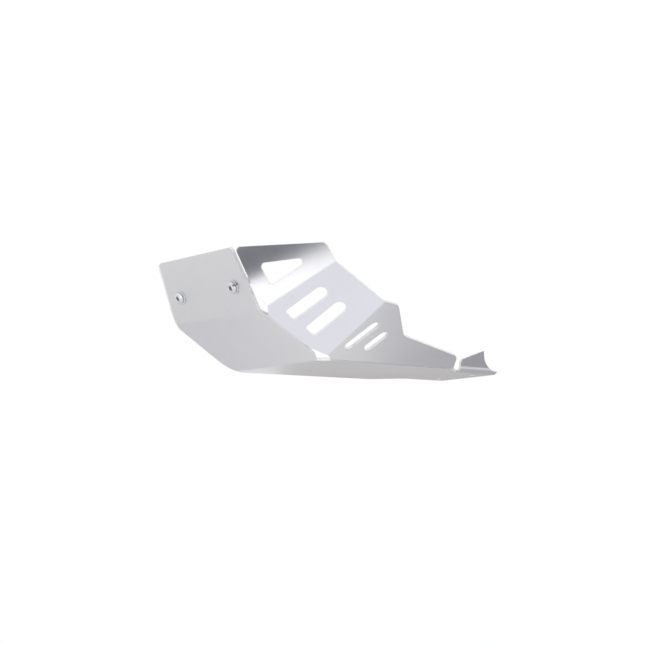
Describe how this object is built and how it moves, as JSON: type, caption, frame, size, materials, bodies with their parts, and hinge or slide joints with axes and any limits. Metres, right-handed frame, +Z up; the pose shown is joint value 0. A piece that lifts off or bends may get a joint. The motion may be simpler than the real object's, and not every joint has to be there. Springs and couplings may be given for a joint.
{
  "type": "motorcycle skid plate",
  "caption": "Folded aluminium skid plate with a sloping front, a flat bottom, slotted side wings and a narrow tail; it shields a motorcycle's engine from below.",
  "frame": {"origin": "below the middle of the bounding box, on the plane of the flat bottom's outer face", "axes": "+X to the rear of the motorcycle, +Y to its right-hand side, +Z up"},
  "size_m": [0.3696, 0.3136, 0.1133],
  "materials": {
    "skid_plate": "brushed and clear anodised",
    "front_screw_left": "stainless, turned",
    "front_screw_right": "stainless, turned",
    "front_washer_left": "stainless, stamped",
    "front_washer_right": "stainless, stamped"
  },
  "bodies": {
    "root": {"skid_plate": "skid_plate", "front_screw_left": "front_screw_left", "front_screw_right": "front_screw_right", "front_washer_left": "front_washer_left", "front_washer_right": "front_washer_right"}
  },
  "joints": []
}
